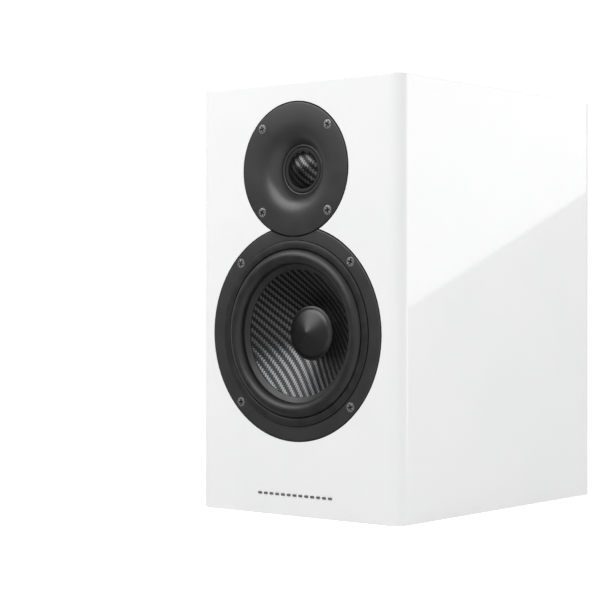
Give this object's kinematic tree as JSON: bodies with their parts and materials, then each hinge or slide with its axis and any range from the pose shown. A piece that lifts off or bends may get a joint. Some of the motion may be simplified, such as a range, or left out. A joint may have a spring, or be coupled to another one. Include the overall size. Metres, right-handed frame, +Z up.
{
  "type": "bookshelf loudspeaker",
  "caption": "White two-way bookshelf loudspeaker with carbon-weave woofer and dome tweeter, slot port and screw terminals at the rear.",
  "frame": {"origin": "centre of the cabinet's underside", "axes": "+X right as seen from the front, +Y to the rear, +Z up; the front baffle faces -Y"},
  "size_m": [0.185, 0.2981, 0.31],
  "materials": {
    "cabinet_lacquer": "white gloss lacquer over fibreboard",
    "bare_board": "bare fibreboard",
    "badge_metal": "satin aluminium bars",
    "damping_wadding": "polyester wadding",
    "port_plastic": "moulded, fine texture",
    "driver_black": "satin black powder coat",
    "waveguide_black": "satin black moulding",
    "gasket_foam": "closed-cell foam",
    "carbon_weave": "woven carbon twill, resin filled",
    "cap_black": "matt black",
    "surround_rubber": "butyl rubber, satin",
    "spider_cloth": "resin-dipped cotton",
    "suspension_cloth": "coated cloth",
    "former_foil": "rolled foil",
    "copper_wire": "enamelled copper",
    "motor_steel": "zinc-plated steel",
    "ferrite": "ground ferrite",
    "strip_board": "laminate with tinned tags",
    "tinsel_braid": "woven copper tinsel",
    "black_screw": "black zinc",
    "clamp_ring_grey": "grey ring",
    "circuit_board": "green solder mask",
    "bobbin_plastic": "moulded nylon",
    "capacitor_film": "film wrapped",
    "ceramic_white": "cement body",
    "zinc_screw": "zinc plated",
    "terminal_aluminium": "brushed, anodised",
    "insulator_black": "moulded",
    "gold_plate": "gold-plated brass",
    "red_plastic": "moulded",
    "wire_black": "flexible sheath",
    "wire_red": "flexible sheath"
  },
  "bodies": {
    "root": {"badge_bars": "badge_metal", "bottom_panel": "cabinet_lacquer", "crossover_board": "circuit_board", "crossover_bobbins": "bobbin_plastic", "crossover_capacitors": "capacitor_film", "crossover_resistors": "ceramic_white", "crossover_screws": "zinc_screw", "crossover_standoffs": "bobbin_plastic", "crossover_windings": "copper_wire", "damping_pad_left": "damping_wadding", "damping_pad_right": "damping_wadding", "front_baffle": "cabinet_lacquer", "input_leads": "wire_black", "left_side_panel": "cabinet_lacquer", "port_duct": "port_plastic", "post_insulators": "insulator_black", "post_nuts": "gold_plate", "post_solder_tags": "gold_plate", "post_studs": "gold_plate", "rear_panel": "cabinet_lacquer", "right_side_panel": "cabinet_lacquer", "terminal_plate": "terminal_aluminium", "terminal_screws": "black_screw", "top_panel": "cabinet_lacquer", "tweeter_back_plate": "motor_steel", "tweeter_clamp_ring": "clamp_ring_grey", "tweeter_gasket": "gasket_foam", "tweeter_leads": "wire_red", "tweeter_magnet": "ferrite", "tweeter_rear_chamber": "port_plastic", "tweeter_screws": "black_screw", "tweeter_suspension": "suspension_cloth", "tweeter_terminal_block": "strip_board", "tweeter_top_plate": "motor_steel", "tweeter_waveguide": "waveguide_black", "window_brace": "bare_board", "woofer_back_plate": "motor_steel", "woofer_basket": "driver_black", "woofer_gasket": "gasket_foam", "woofer_leads": "wire_red", "woofer_magnet": "ferrite", "woofer_screws": "black_screw", "woofer_spider": "spider_cloth", "woofer_surround": "surround_rubber", "woofer_terminal_strip": "strip_board", "woofer_tinsel_leads": "tinsel_braid", "woofer_top_plate": "motor_steel"},
    "woofer_motion": {"woofer_cone": "carbon_weave", "woofer_dust_cap": "cap_black", "woofer_coil_former": "former_foil", "woofer_voice_coil": "copper_wire"},
    "tweeter_motion": {"tweeter_dome": "carbon_weave", "tweeter_coil_former": "former_foil", "tweeter_voice_coil": "copper_wire"},
    "red_post_slider": {"red_post_washer": "gold_plate"},
    "red_post_cap": {"red_post_knob": "red_plastic", "red_post_insert": "gold_plate"},
    "black_post_slider": {"black_post_washer": "gold_plate"},
    "black_post_cap": {"black_post_knob": "insulator_black", "black_post_insert": "gold_plate"}
  },
  "joints": [
    {"name": "woofer_excursion", "type": "slide", "parent": "root", "child": "woofer_motion", "axis": [0, -1, 0], "range_m": [-0.004, 0.004], "stiffness_N_per_m": 1250, "deforming": ["woofer_surround", "woofer_spider", "woofer_tinsel_leads"]},
    {"name": "tweeter_excursion", "type": "slide", "parent": "root", "child": "tweeter_motion", "axis": [0, -1, 0], "range_m": [-0.0004, 0.0004], "stiffness_N_per_m": 8000, "deforming": ["tweeter_suspension"]},
    {"name": "red_post_travel", "type": "slide", "parent": "root", "child": "red_post_slider", "axis": [0, 1, 0], "range_m": [0, 0.0075]},
    {"name": "red_post_turn", "type": "hinge", "parent": "red_post_slider", "child": "red_post_cap", "pos_m": [0.015, 0.139, 0.07], "axis": [0, 1, 0], "range_deg": [0, 2160]},
    {"name": "black_post_travel", "type": "slide", "parent": "root", "child": "black_post_slider", "axis": [0, 1, 0], "range_m": [0, 0.0075]},
    {"name": "black_post_turn", "type": "hinge", "parent": "black_post_slider", "child": "black_post_cap", "pos_m": [-0.015, 0.139, 0.07], "axis": [0, 1, 0], "range_deg": [0, 2160]}
  ],
  "couplings": [
    {"joint": "red_post_turn", "follows": "red_post_travel", "rad_per_m": 5026.5},
    {"joint": "black_post_turn", "follows": "black_post_travel", "rad_per_m": 5026.5}
  ]
}
